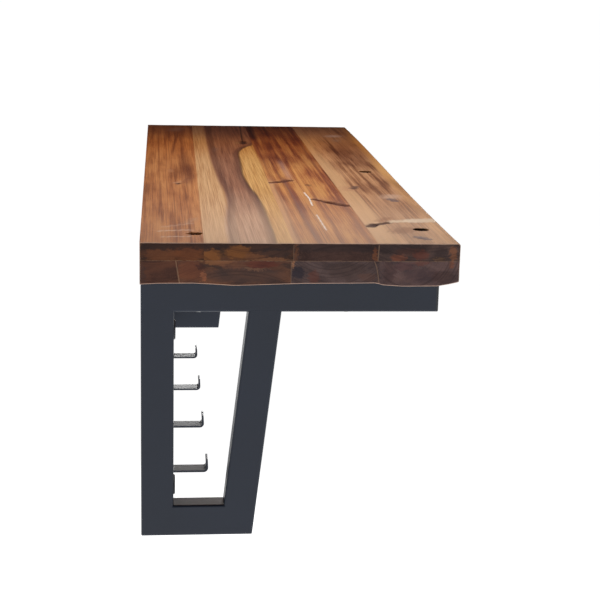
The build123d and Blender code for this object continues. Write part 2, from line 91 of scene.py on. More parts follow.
# ------------------------------------------------------------------ arithmetic for meshes and for nodes
class Value:
    """A number inside a material: arithmetic on it adds Math nodes to its tree."""

    def __init__(self, tree, socket):
        self.tree = tree
        self.socket = socket

    def __add__(self, other):
        return maths("ADD", self, other)

    def __sub__(self, other):
        return maths("SUBTRACT", self, other)

    def __mul__(self, other):
        return maths("MULTIPLY", self, other)

    def __truediv__(self, other):
        return maths("DIVIDE", self, other)

    def __rsub__(self, other):
        return maths("SUBTRACT", other, self)

    __radd__ = __add__
    __rmul__ = __mul__


def plug(tree, source, target):
    """Link a Value or socket to an input, or set the input's own value."""
    if isinstance(source, Value):
        tree.links.new(source.socket, target)
    elif isinstance(source, bpy.types.NodeSocket):
        tree.links.new(source, target)
    else:
        target.default_value = source


def maths(operation, *inputs):
    tree = next(item.tree for item in inputs if isinstance(item, Value))
    node = tree.nodes.new("ShaderNodeMath")
    node.operation = operation
    for source, target in zip(inputs, node.inputs):
        plug(tree, source, target)
    return Value(tree, node.outputs[0])


def wave(value):
    return maths("SINE", value) if isinstance(value, Value) else np.sin(value)


def limit(value, low, high):
    if isinstance(value, Value):
        return maths("MINIMUM", maths("MAXIMUM", value, low), high)
    return np.clip(value, low, high)


def length(a, b):
    if isinstance(a, Value):
        return maths("SQRT", a * a + b * b)
    return np.sqrt(a * a + b * b)


def smooth(value, low, high):
    """0 before low and 1 after high, or the other way round where low is above high."""
    if isinstance(value, Value):
        node = value.tree.nodes.new("ShaderNodeMapRange")
        node.interpolation_type = "SMOOTHSTEP"
        for source, target in zip((value, low, high), node.inputs):
            plug(value.tree, source, target)
        return Value(value.tree, node.outputs[0])
    if low > high:
        return 1 - smooth(value, high, low)
    t = limit((value - low) / (high - low), 0.0, 1.0)
    return t * t * (3 - 2 * t)


def ragged(x, u):
    """The unevenness of the marks' edges, about 1 either way."""
    coarse = wave(x * 0.55 + u * 0.21) + wave(u * 0.83 - x * 0.29)
    return (coarse + wave(x * 1.31 + u * 1.17) * 0.6) * (1 / 2.6)


def joint(line, x):
    """u of a straight joint at place x."""
    return x * ((line[1] - line[0]) / LENGTH) + line[0]


EDGE_FIT = np.polyfit([p[0] for p in LIVE_EDGE], [p[1] for p in LIVE_EDGE], 3)


def live_edge(x):
    """u of the natural edge, kept inside the CAD board."""
    smooth_line = ((EDGE_FIT[0] * x + EDGE_FIT[1]) * x + EDGE_FIT[2]) * x + EDGE_FIT[3]
    return smooth_line if isinstance(x, Value) else np.minimum(smooth_line, FRONT)


# ------------------------------------------------------------------ marks in the slab's top
def tone(red, green, blue):
    """A colour as the eye reads it, 0 to 255, turned into the shader's linear values."""
    parts = [c / 255 for c in (red, green, blue)]
    linear = [p / 12.92 if p <= 0.04045 else ((p + 0.055) / 1.055) ** 2.4 for p in parts]
    return (*linear, 1.0)


Mark = namedtuple("Mark", "start end half depth rough soft colour strength")
DARK = tone(38, 22, 16)
GOUGE = tone(74, 36, 24)
PALE = tone(208, 178, 158)
RESIN = tone(226, 214, 205)
BLUE_KNOT = tone(92, 78, 82)
MARKS = {
    "top_plank_back": [
        Mark((36, 27), (39, 58), 2.2, 0.0, 2.4, 2.4, PALE, 0.6),
        Mark((72, 22), (80, 60), 2.6, 0.0, 2.8, 3.0, PALE, 0.6),
        Mark((98, 28), (122, 60), 2.6, 0.0, 3.0, 5.0, PALE, 0.3),
        Mark((124, 56), (156, 66), 4.0, 0.0, 4.0, 6.0, tone(176, 142, 118), 0.35),
        Mark((57, 63), (58, 64), 8.0, 9.0, 2.0, 1.6, DARK, 1.0),
        Mark((440, 49), (444, 50), 3.5, 0.8, 1.5, 2.0, DARK, 0.8),
        Mark((448, 44), (462, 53), 1.6, 0.0, 2.0, 3.0, PALE, 0.4),
        Mark((450, 58), (500, 66), 5.0, 0.0, 3.0, 6.0, tone(120, 66, 44), 0.5),
        Mark((560, 40), (585, 39), 4.0, 0.0, 2.0, 4.0, tone(176, 120, 84), 0.5),
        Mark((1105, 50), (1146, 60), 12.0, 0.0, 6.0, 9.0, tone(150, 98, 76), 0.5),
    ],
    "top_plank_centre_back": [
        Mark((913, 171), (944, 172), 6.5, 0.5, 2.5, 4.0, tone(52, 26, 16), 0.85),
        Mark((922, 160), (930, 161), 5.0, 0.0, 2.0, 4.0, tone(150, 100, 60), 0.6),
        Mark((812, 116), (850, 120), 5.0, 0.0, 2.0, 5.0, tone(120, 82, 66), 0.5),
    ],
    "top_plank_centre_front": [
        Mark((314, 232), (288, 250), 5.0, 2.2, 1.2, 2.6, GOUGE, 0.9),
        Mark((288, 250), (262, 270), 8.0, 2.6, 1.4, 3.0, GOUGE, 0.9),
        Mark((459, 184), (468, 200), 6.0, 1.5, 1.2, 2.6, GOUGE, 0.9),
        Mark((468, 200), (483, 213), 7.5, 1.8, 1.4, 2.8, GOUGE, 0.9),
        Mark((84, 223), (190, 223), 0.9, 0.25, 0.5, 0.9, RESIN, 0.75),
        Mark((262, 225), (318, 227), 1.0, 0.3, 0.5, 0.8, RESIN, 0.95),
        Mark((318, 227), (368, 225), 1.0, 0.3, 0.5, 0.8, RESIN, 0.95),
        Mark((430, 238), (442, 237), 3.5, 0.3, 1.5, 3.0, tone(96, 54, 34), 0.7),
    ],
    "top_plank_front": [
        Mark((76, 312), (92, 326), 13.0, 0.0, 6.0, 8.0, tone(138, 92, 66), 0.5),
        Mark((110, 281), (124, 288), 7.5, 1.2, 1.3, 2.8, tone(84, 62, 56), 0.9),
        Mark((122, 288), (137, 308), 5.5, 1.5, 1.3, 2.8, tone(72, 48, 42), 0.9),
        Mark((146, 298), (168, 312), 6.0, 0.0, 3.0, 6.0, tone(140, 88, 60), 0.5),
        Mark((145, 316), (148, 340), 7.0, 0.0, 2.5, 3.0, tone(218, 190, 160), 0.85),
        Mark((149, 340), (153, 362), 13.0, 0.0, 3.0, 4.0, tone(218, 190, 162), 0.85),
        Mark((29, 336), (40, 328), 6.0, 0.5, 2.5, 4.0, BLUE_KNOT, 0.75),
        Mark((330, 340), (346, 346), 12.0, 0.0, 4.0, 9.0, tone(206, 172, 150), 0.45),
        Mark((302, 343), (318, 339), 6.5, 0.4, 2.5, 4.0, BLUE_KNOT, 0.7),
        Mark((396, 292), (420, 294), 11.0, 0.0, 4.0, 6.0, tone(176, 124, 92), 0.5),
        Mark((408, 300), (428, 306), 5.5, 0.7, 2.2, 3.0, tone(88, 58, 46), 0.85),
        Mark((1040, 346), (1048, 350), 13.0, 0.0, 7.0, 11.0, tone(190, 150, 132), 0.55),
        Mark((965, 344), (985, 346), 6.0, 0.0, 3.0, 8.0, tone(150, 116, 98), 0.4),
    ],
}


def outside(mark, x, u, uneven):
    """Distance from a mark's edge, negative inside it. A mark is a rounded bar with an uneven edge."""
    along_x = mark.end[0] - mark.start[0]
    along_u = mark.end[1] - mark.start[1]
    share = ((x - mark.start[0]) * along_x + (u - mark.start[1]) * along_u) / (along_x**2 + along_u**2)
    share = limit(share, 0.0, 1.0)
    gap = length(x - mark.start[0] - share * along_x, u - mark.start[1] - share * along_u)
    return gap - mark.half + uneven * mark.rough


# ------------------------------------------------------------------ the boards' meshes
def places_along(marks, step):
    """x of the cross-sections: close together at the ends and across sunken marks."""
    ends = np.array([0.0, ARRIS, 4.0, 8.0, 14.0, 22.0, 32.0, 45.0, 60.0])
    parts = [ends, LENGTH - ends, np.arange(60.0, LENGTH - 59.0, step)]
    for mark in marks:
        if mark.depth > SUNKEN:
            low = min(mark.start[0], mark.end[0]) - mark.half - MARK_MARGIN
            high = max(mark.start[0], mark.end[0]) + mark.half + MARK_MARGIN
            parts.append(np.arange(low, high, MARK_STEP))
    places = np.unique(np.round(np.concatenate(parts), 2))
    return places[np.insert(np.diff(places) > 0.9, 0, True)]


def end_inset(x):
    """How far the outline is drawn in at place x, for the worn bevel at both ends."""
    return ARRIS * 0.9 if x < ARRIS / 2 or x > LENGTH - ARRIS / 2 else 0.0


def top_height(x, u, marks):
    """v of the planed top, with its marks and a faint wave left by the sanding."""
    height = -TOP_DROP + SANDING_WAVE * np.sin(x * 0.021 + u * 0.05) * np.sin(u * 0.11 + 1.3)
    uneven = ragged(x, u)
    for mark in marks:
        if mark.depth:
            gap = outside(mark, x, u, uneven)
            height -= mark.depth * smooth(gap, mark.soft * 0.3, -mark.soft - mark.half * 0.25)
    return np.minimum(height, 0.0)


# the left end's hand-shaped lower edge: distance from the wall, v
NEAR_WAVE = [
    (0, -49.0), (20, -47.9), (60, -47.6), (84, -48.8), (108, -50.3), (130, -49.7),
    (150, -49.0), (190, -47.7), (240, -47.5), (275.9, -47.0), (276.1, -48.8),
    (284, -49.7), (305, -51.0), (346, -50.6), (360, -48.2), (372, -45.4),
]


def bottom_height(x, u, edge):
    """v of the underside: flat between the arms, hand-shaped and uneven towards both ends."""
    wane = WANE_HEIGHT * smooth(u, edge - WANE_WIDTH - 3, edge + 1)
    plain = BOTTOM + wane
    near = np.interp(u, [p[0] for p in NEAR_WAVE], [p[1] for p in NEAR_WAVE])
    far = plain + 0.7 + 0.6 * np.sin(u * 0.045 + 0.6)
    near_share = smooth(x, ARM_START - 8.0, 0.0)
    far_share = smooth(x, LENGTH - ARM_START + 8.0, LENGTH)
    return plain + (near - plain) * near_share + (far - plain) * far_share


def side_profile(x, edge, low, high, round_top):
    """The natural edge at place x as (u, v) points from low to high."""
    points = []
    levels = np.linspace(low, high - (EDGE_ROUND if round_top else 0.0), EDGE_LEVELS)
    for v in levels:
        ripple = 0.55 * math.sin(x * 0.043 + v * 0.35) + 0.45 * math.sin(x * 0.107 - v * 0.22 + 1.7)
        points.append((edge - EDGE_SETBACK - EDGE_RIPPLE * ripple, v))
    if round_top:
        top_u = points[-1][0]
        for turn in (0.25, 0.5, 0.75):
            angle = turn * math.pi / 2
            points.append((
                top_u - EDGE_ROUND * (1 - math.cos(angle)),
                high - EDGE_ROUND * (1 - math.sin(angle)),
            ))
    return points


def top_section(x, back, front, marks, natural, samples):
    """Outline of an upper board at place x, as (u, v) points, anticlockwise seen from the left end."""
    inset = end_inset(x)
    rear = joint(back, x) + (inset if back[0] == 0 else 0.0)
    if natural:
        side = side_profile(x, live_edge(x) - inset, LAYER, -TOP_DROP - inset, True)
        top_front = side[-1][0] - 1.2
    else:
        side = [(joint(front, x), LAYER)]
        top_front = joint(front, x)
    u = np.linspace(top_front, rear, samples)
    v = top_height(x, u, marks) - inset
    return [(rear, LAYER)] + side + list(zip(u, v))


def base_section(x, back, front, natural, samples):
    """Outline of a lower board at place x, in the same order."""
    inset = end_inset(x)
    rear = joint(back, x) + (inset if back[0] == 0 else 0.0)
    edge = live_edge(x)
    front_u = edge - inset - UNDERCUT if natural else joint(front, x)
    u = np.linspace(rear, front_u, samples)
    v = bottom_height(x, u, edge) + inset
    if natural:
        side = side_profile(x, edge - inset, v[-1] + CORNER_EASE, LAYER, False)
    else:
        side = [(front_u, LAYER)]
    return list(zip(u, v)) + side + [(rear, LAYER)]


def board_mesh(name, sections, places):
    """A closed mesh skinned over the sections, with one flat cap at each end."""
    count = len(sections[0])
    points = []
    for x, section in zip(places, sections):
        points += [((x - HALF) * MM, -u * MM, (v + TOP_Z) * MM) for u, v in section]
    faces = []
    for row in range(len(places) - 1):
        for column in range(count):
            following = (column + 1) % count
            a = row * count + column
            b = row * count + following
            faces.append((a, a + count, b + count, b))
    faces.append(tuple(range(count)))
    last = (len(places) - 1) * count
    faces.append(tuple(reversed(range(last, last + count))))
    mesh = bpy.data.meshes.new(name)
    mesh.from_pydata(points, [], faces)
    mesh.update()
    piece = bpy.data.objects.new(name, mesh)
    bpy.context.scene.collection.objects.link(piece)
    return piece


def drilled(piece, profile):
    """Cut a stepped round hole at each bolt place. The profile is (v, radius) points from above to below."""
    points = []
    faces = []
    for x, u in BOLT_PLACES:
        first = len(points)
        for v, radius in profile:
            for i in range(DRILL_SIDES):
                turn = 2 * math.pi * i / DRILL_SIDES
                px = x - HALF + radius * math.cos(turn)
                py = -u + radius * math.sin(turn)
                points.append((px * MM, py * MM, (v + TOP_Z) * MM))
        for ring in range(len(profile) - 1):
            for i in range(DRILL_SIDES):
                a = first + ring * DRILL_SIDES + i
                b = first + ring * DRILL_SIDES + (i + 1) % DRILL_SIDES
                faces.append((a, a + DRILL_SIDES, b + DRILL_SIDES, b))
        last = first + (len(profile) - 1) * DRILL_SIDES
        faces.append(tuple(range(first, first + DRILL_SIDES)))
        faces.append(tuple(reversed(range(last, last + DRILL_SIDES))))
    mesh = bpy.data.meshes.new("drill_bit")
    mesh.from_pydata(points, [], faces)
    bit = bpy.data.objects.new("drill_bit", mesh)
    bpy.context.scene.collection.objects.link(bit)
    cut = piece.modifiers.new("hole", "BOOLEAN")
    cut.object = bit
    cut.solver = "EXACT"
    bpy.context.view_layer.update()
    apply_modifiers(piece)
    bpy.data.objects.remove(bit)


def apply_modifiers(piece):
    graph = bpy.context.evaluated_depsgraph_get()
    mesh = bpy.data.meshes.new_from_object(piece.evaluated_get(graph))
    piece.modifiers.clear()
    old = piece.data
    piece.data = mesh
    bpy.data.meshes.remove(old)


def finish_board(piece, node, material):
    for polygon in piece.data.polygons:
        polygon.use_smooth = True
    piece.data.set_sharp_from_angle(angle=math.radians(CREASE))
    piece.data.materials.clear()
    piece.data.materials.append(material)
    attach(piece, "root")
    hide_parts(node)


# ------------------------------------------------------------------ building blocks of the materials
def new_material(name):
    """A material with only its output and a Principled shader."""
    material = bpy.data.materials.new(name)
    material.use_nodes = True
    tree = material.node_tree
    tree.nodes.clear()
    output = tree.nodes.new("ShaderNodeOutputMaterial")
    shader = tree.nodes.new("ShaderNodeBsdfPrincipled")
    tree.links.new(shader.outputs[0], output.inputs[0])
    return material, tree, shader


def slab_position(tree):
    """x, u and v of a shaded point, as Values in millimetres."""
    where = tree.nodes.new("ShaderNodeTexCoord")
    apart = tree.nodes.new("ShaderNodeSeparateXYZ")
    tree.links.new(where.outputs["Object"], apart.inputs[0])
    x, y, z = [Value(tree, apart.outputs[i]) for i in range(3)]
    return x / MM + HALF, y / -MM, z / MM - TOP_Z


def noise(x, u, v, detail=2.0, roughness=0.5, distortion=0.0):
    """Noise at a place given by three Values or numbers, 0 to 1."""
    tree = next(item.tree for item in (x, u, v) if isinstance(item, Value))
    place = tree.nodes.new("ShaderNodeCombineXYZ")
    for source, target in zip((x, u, v), place.inputs):
        plug(tree, source, target)
    node = tree.nodes.new("ShaderNodeTexNoise")
    tree.links.new(place.outputs[0], node.inputs["Vector"])
    node.inputs["Scale"].default_value = 1.0
    node.inputs["Detail"].default_value = detail
    node.inputs["Roughness"].default_value = roughness
    node.inputs["Distortion"].default_value = distortion
    return Value(tree, node.outputs[0])


def ramp(value, *stops):
    """A colour ramp: stops are (place, colour)."""
    node = value.tree.nodes.new("ShaderNodeValToRGB")
    elements = node.color_ramp.elements
    while len(elements) < len(stops):
        elements.new(0.5)
    for element, (place, colour) in zip(elements, stops):
        element.position = place
        element.color = colour
    value.tree.links.new(value.socket, node.inputs[0])
    return node.outputs[0]


def mix(share, first, second, mode="MIX"):
    """second over first by share, which is a Value."""
    tree = share.tree
    node = tree.nodes.new("ShaderNodeMix")
    node.data_type = "RGBA"
    node.blend_type = mode
    plug(tree, share, node.inputs[0])
    plug(tree, first, node.inputs[6])
    plug(tree, second, node.inputs[7])
    return node.outputs[2]


def route(x, points):
    """u of a smooth line through (x, u) points."""
    tree = x.tree
    node = tree.nodes.new("ShaderNodeFloatCurve")
    curve = node.mapping.curves[0]
    ends = [points[0], points[-1]]
    for knot, (px, pu) in zip(curve.points, ends):
        knot.location = (px / LENGTH, pu / LENGTH)
    for px, pu in points[1:-1]:
        curve.points.new(px / LENGTH, pu / LENGTH)
    node.mapping.update()
    plug(tree, x / LENGTH, node.inputs["Value"])
    return Value(tree, node.outputs[0]) * LENGTH


def stripe(x, u, points, half, soft, start=None, stop=None, fade=40.0):
    """A band along a line, 1 inside it, with faded ends where start or stop is given."""
    offset = maths("ABSOLUTE", u - route(x, points))
    mask = smooth(offset, half + soft, max(half - soft, 0.0))
    if start is not None:
        mask = mask * smooth(x, start - fade, start + fade)
    if stop is not None:
        mask = mask * smooth(x, stop + fade, stop - fade)
    return mask


def patch(a, b, centre, size, soft=0.5):
    """A soft oval: 1 at its centre, 0 outside, in any two Values."""
    reach = length((a - centre[0]) / size[0], (b - centre[1]) / size[1])
    return smooth(reach, 1.0 + soft, 1.0 - soft)


# ------------------------------------------------------------------ the wood
# faded: how strongly a board takes the painted haze at the left end
Timber = namedtuple("Timber", "pith seed dark middle light bright faded")
PAINTED_HAZE = tone(230, 190, 156)             # painted haze: a painted reflection that makes the left end paler
RIPE_AND_PAINTED_SHADE = (0.9, 0.68, 0.46, 1.0)           # and the right end keeps a redder, deeper colour, darkened partly as painted shade
PAINTED_SHADE_DIM = (0.7, 0.66, 0.86, 1.0)            # painted shade: darkest of all next to that end
SHADE = (0.62, 0.55, 0.58, 1.0)         # multiplied over patches of a board to darken them
PAINTED_HAZE_SPAN, RIPE_AND_PAINTED_SHADE_SPAN, PAINTED_SHADE_DIM_SPAN = (430.0, 30.0), (600.0, 960.0), (930.0, 1130.0)    # x from none to all
MARK_SPAN = (-13.0, -9.5)               # v over which a mark's colour dies out below the top
BORE_TONE = tone(34, 20, 14)            # shaded walls of the bolt holes
RIM_SPAN, RIM_TONE = (3.6, 1.2), tone(84, 50, 34)       # dull brown line along the natural edge


def figured_wood(x, u, v, timber):
    """Colour of plain wood anywhere in a board, and the fine grain as a Value."""
    seed = timber.seed
    drift = noise(x * 0.0022, u * 0.012, v * 0.012 + seed, 2.0) * 12 - 6
    rings = length(u - timber.pith[0], v - timber.pith[1]) + drift
    broad = noise(x * 0.0012, rings * 0.07, seed * 1.7 + 3, 3.0, 0.6)
    cloud = noise(x * 0.008, u * 0.035, v * 0.035 + seed * 2.3, 2.0, 0.5)
    streak = noise(x * 0.0032, u * 0.13, v * 0.13 + seed, 4.0, 0.62, 0.15)
    fine = noise(x * 0.0045, u * 0.7, v * 0.7 + seed, 3.0, 0.72)
    hair = noise(x * 0.011, u * 1.5, v * 1.5 + seed, 3.0, 0.75)
    level = broad * 0.6 + cloud * 0.5 + streak * 0.75 + fine * 0.65 + hair * 0.45 - 0.94
    colour = ramp(
        level,
        (0.38, timber.dark),
        (0.5, timber.middle),
        (0.6, timber.light),
        (0.72, timber.bright),
    )
    seam = smooth(noise(x * 0.0018 + 11, u * 0.3, v * 0.3 + seed + 20, 2.0), 0.6, 0.68)
    colour = mix(seam * 0.6, colour, timber.dark)
    pores = smooth(noise(x * 0.055, u * 2.1, v * 2.1 + seed * 3, 2.0, 0.6), 0.62, 0.72)
    colour = mix(pores * 0.28, colour, tone(66, 34, 22))
    return colour, hair, pores


def end_grain(x, u, v, tones, seed):
    """The cut ends: much darker, drier and blotchy, with fine pores."""
    at_end = smooth(maths("ABSOLUTE", x - HALF), HALF - 0.5, HALF - 0.25)
    blotch = noise(u * 0.03 + seed, v * 0.06, 4.0, 4.0, 0.62, 0.4)
    dusk = ramp(blotch, (0.38, tones[0]), (0.64, tones[1]))
    speck = noise(u * 0.9, v * 0.9, seed, 2.0, 0.7)
    dusk = mix(smooth(speck, 0.5, 0.68) * 0.4, dusk, tone(116, 84, 68))
    pit = noise(u * 1.5, v * 1.5, seed + 5, 1.0)
    return at_end, mix(smooth(pit, 0.6, 0.7) * 0.35, dusk, tone(28, 22, 22))


Blot = namedtuple("Blot", "centre size colour strength")
BLOT_SHARE = 0.75                       # of every stain's strength
UMBER = tone(46, 37, 38)
OCHRE = tone(157, 97, 50)
GREY_BROWN = tone(78, 62, 59)
END_BLOTS = {
    "top_plank_back": [
        Blot((36, -4), (60, 5.5), UMBER, 0.9),
        Blot((22, -14), (22, 6.0), tone(120, 72, 48), 0.7),
        Blot((56, -13), (17, 7.5), tone(126, 72, 45), 0.75),
        Blot((4, -10), (3, 12), UMBER, 0.6),
    ],
    "top_plank_centre_back": [
        Blot((120, -4), (70, 6), UMBER, 0.9),
        Blot((82, -15), (11, 7), OCHRE, 0.8),
        Blot((95, -11), (6, 5), tone(88, 59, 40), 0.6),
        Blot((112, -11), (14, 8), OCHRE, 0.75),
        Blot((132, -17), (13, 4.5), tone(136, 87, 58), 0.7),
        Blot((154, -11), (20, 6), tone(53, 44, 45), 0.8),
        Blot((152, -19.3), (24, 1.6), tone(141, 95, 67), 0.7),
    ],
    "top_plank_centre_front": [
        Blot((226, -5), (60, 6), tone(51, 41, 42), 0.85),
        Blot((179, -10), (2.5, 12), tone(122, 78, 53), 0.75),
        Blot((228, -14), (32, 6), tone(74, 51, 46), 0.6),
        Blot((271, -14), (3.0, 8), tone(138, 83, 53), 0.7),
    ],
    "top_plank_front": [
        Blot((302, -6), (34, 7), tone(48, 39, 40), 0.85),
        Blot((298, -17), (9, 4), tone(141, 78, 53), 0.75),
        Blot((325, -14), (9, 6), tone(120, 62, 48), 0.7),
        Blot((312, -10), (18, 5), tone(90, 55, 46), 0.55),
        Blot((362, -12), (4.0, 10), tone(152, 97, 66), 0.8),
        Blot((348, -12), (8, 10), tone(53, 42, 45), 0.6),
        Blot((346, -19), (7, 3), tone(128, 94, 69), 0.6),
    ],
    "base_strip_back": [
        Blot((20, -35), (26, 12), tone(83, 53, 45), 0.6),
        Blot((28, -25), (20, 4), tone(109, 67, 50), 0.55),
        Blot((3, -38), (4, 12), tone(67, 55, 54), 0.6),
    ],
    "base_strip_centre_back": [
        Blot((58, -32), (15, 12), tone(128, 73, 51), 0.75),
        Blot((88, -22), (20, 4.5), tone(165, 109, 69), 0.75),
        Blot((73, -40), (3.2, 6), tone(179, 109, 74), 0.85),
        Blot((70, -27), (5, 5), tone(53, 36, 40), 0.7),
        Blot((120, -38), (44, 9.5), GREY_BROWN, 0.85),
        Blot((110, -25), (22, 4.5), tone(134, 87, 66), 0.6),
        Blot((140, -25), (18, 4.5), tone(112, 53, 43), 0.75),
        Blot((132, -30.5), (14, 1.4), tone(152, 109, 83), 0.6),
    ],
    "base_strip_centre_front": [
        Blot((176, -24), (2.5, 5), tone(181, 125, 88), 0.85),
        Blot((182, -35), (8, 7), tone(43, 42, 53), 0.9),
        Blot((200, -40), (6, 8), tone(117, 66, 53), 0.65),
        Blot((240, -34), (24, 10), tone(80, 61, 56), 0.55),
        Blot((262, -40), (10, 5), tone(112, 75, 61), 0.5),
    ],
    "base_strip_front": [
        Blot((288, -34), (7, 13), tone(74, 51, 50), 0.6),
        Blot((305, -27), (12, 5), tone(99, 66, 67), 0.6),
        Blot((328, -38), (20, 8), tone(77, 58, 62), 0.6),
        Blot((326, -23), (9, 3), tone(120, 69, 56), 0.6),
        Blot((361, -24), (4.0, 5), tone(144, 86, 59), 0.75),
        Blot((352, -40), (14, 7), tone(77, 53, 48), 0.6),
    ],
}
PALE_LINE = tone(168, 132, 104)
END_TONES = {
    "top_plank_back": (tone(64, 41, 30), tone(116, 70, 42)),
    "top_plank_centre_back": (tone(60, 42, 35), tone(112, 72, 50)),
    "top_plank_centre_front": (tone(62, 43, 40), tone(92, 67, 60)),
    "top_plank_front": (tone(66, 53, 52), tone(98, 77, 72)),
    "base_strip_back": (tone(78, 50, 42), tone(118, 74, 54)),
    "base_strip_centre_back": (tone(76, 55, 49), tone(122, 80, 60)),
    "base_strip_centre_front": (tone(74, 60, 60), tone(104, 85, 83)),
    "base_strip_front": (tone(80, 66, 68), tone(114, 89, 86)),
}
Seam = namedtuple("Seam", "u_top u_bottom top bottom bend strength")
END_SEAMS = [
    Seam(41.0, 45.6, LAYER, -48.0, 1.0, 0.5),
    Seam(269.0, 276.2, LAYER, -47.0, 0.5, 0.4),
    Seam(173.5, 173.5, LAYER, -48.0, 1.0, 0.25),
    Seam(275.0, 274.0, -2.0, LAYER, 1.0, 0.45),
    Seam(176.0, 176.0, -2.0, LAYER, 1.0, 0.25),
]


def wood_material(node, timber, figure=None):
    """The finished wood of one board: ground, figure, marks, end grain and a painted highlight on the bevels.
    """
    material, tree, shader = new_material(f"{node}_wood")
    x, u, v = slab_position(tree)
    colour, hair, pores = figured_wood(x, u, v, timber)
    if figure:
        colour = figure(x, u, v, colour)
    # painted haze towards the left end, as strongly as each board takes it
    colour = mix(smooth(x, *PAINTED_HAZE_SPAN) * timber.faded, colour, PAINTED_HAZE)
    # redder towards the right end, and darker there as painted shade
    colour = mix(smooth(x, *RIPE_AND_PAINTED_SHADE_SPAN), colour, RIPE_AND_PAINTED_SHADE, "MULTIPLY")
    # painted shade, darkest next to the right end
    colour = mix(smooth(x, *PAINTED_SHADE_DIM_SPAN), colour, PAINTED_SHADE_DIM, "MULTIPLY")
    near_top = smooth(v, *MARK_SPAN)
    sunk = 0.0
    uneven = ragged(x, u)
    for mark in MARKS.get(node, []):
        inside = smooth(outside(mark, x, u, uneven), mark.soft, -mark.soft)
        colour = mix(inside * near_top * mark.strength, colour, mark.colour)
        if mark.depth > 1:
            sunk = maths("MAXIMUM", inside * near_top, sunk)

    for bolt_x, bolt_u in BOLT_PLACES:
        bored = smooth(length(x - bolt_x, u - bolt_u), COUNTERBORE / 2 + 0.6, COUNTERBORE / 2 + 0.1)
        colour = mix(bored * smooth(v, -0.5, -1.2), colour, BORE_TONE)

    rim = smooth(live_edge(x) - u, *RIM_SPAN)
    colour = mix(rim * 0.65, colour, RIM_TONE)

    at_end, dusk = end_grain(x, u, v, END_TONES[node], timber.seed)
    left = smooth(x, 8.0, 4.0)
    shake_u = noise(u * 0.16, v * 0.25, timber.seed, 5.0, 0.72) * 22 - 11
    shake_v = noise(u * 0.16 + 9, v * 0.25, timber.seed, 5.0, 0.72) * 13 - 6.5
    for blot in END_BLOTS[node]:
        spot = patch(u + shake_u, v + shake_v, blot.centre, blot.size, 0.3)
        dusk = mix(spot * left * (blot.strength * BLOT_SHARE), dusk, blot.colour)
    rings = length(u - timber.pith[0], v - timber.pith[1])
    arcs = smooth(noise(rings * 0.55, timber.seed, v * 0.03, 1.0), 0.5, 0.66)
    dusk = mix(arcs * 0.3, dusk, tone(44, 32, 32))
    for seam in END_SEAMS:
        share = limit((v - seam.top) / (seam.bottom - seam.top), 0.0, 1.0)
        line = maths("POWER", share, seam.bend) * (seam.u_bottom - seam.u_top) + seam.u_top
        inside = smooth(v, seam.top + 0.3, seam.top - 0.3) * smooth(v, seam.bottom - 0.3, seam.bottom + 0.3)
        seam_mask = smooth(maths("ABSOLUTE", u - line + shake_u * 0.05), 0.9, 0.2) * inside * left
        dusk = mix(seam_mask * seam.strength, dusk, PALE_LINE)
    glue = smooth(maths("ABSOLUTE", v - LAYER + shake_v * 0.08), 0.8, 0.2)
    dusk = mix(glue * smooth(shake_u, -3.0, 3.0) * 0.4, dusk, PALE_LINE)
    colour = mix(at_end, colour, dusk)
    # painted highlight: a pale line on the bevel round both ends
    bevel = smooth(maths("ABSOLUTE", x - HALF), HALF - ARRIS - 0.2, HALF - ARRIS + 0.1) * (1 - at_end)
    colour = mix(bevel * 0.6, colour, tone(206, 176, 158))

    tree.links.new(colour, shader.inputs["Base Color"])
    gloss = hair * 0.2 + pores * 0.15 + sunk * 0.3 + at_end * 0.2 + rim * 0.5 + 0.29
    plug(tree, limit(gloss, 0.2, 0.95), shader.inputs["Roughness"])
    shader.inputs["Specular IOR Level"].default_value = 0.12
    bump = tree.nodes.new("ShaderNodeBump")
    bump.inputs["Strength"].default_value = 0.25
    bump.inputs["Distance"].default_value = 0.0004
    plug(tree, hair * 0.6 - pores * 0.8, bump.inputs["Height"])
    tree.links.new(bump.outputs[0], shader.inputs["Normal"])
    return material


def back_figure(x, u, v, colour):
    """First plank: orange-brown with a few red-brown streaks."""
    red = tone(112, 58, 36)
    streaks = [
        ([(0, 42), (110, 43), (600, 44), (1200, 46)], 0.8, 1.0, 10, 100, 0.5),
        ([(0, 68), (450, 69), (520, 68), (700, 67), (1200, 72)], 3.0, 3.5, 470, 640, 0.6),
        ([(0, 40), (700, 43), (860, 47), (1000, 52), (1200, 54)], 2.2, 2.5, 780, 1010, 0.75),
        ([(0, 26), (500, 24), (1200, 30)], 1.2, 2.5, 120, 460, 0.35),
        ([(0, 58), (600, 60), (1200, 64)], 2.0, 3.0, 560, 1150, 0.45),
    ]
    for line, half, soft, start, stop, strength in streaks:
        colour = mix(stripe(x, u, line, half, soft, start, stop) * strength, colour, red)
    return mix(patch(x, u, (600, 63), (170, 10)) * 0.8, colour, SHADE, "MULTIPLY")


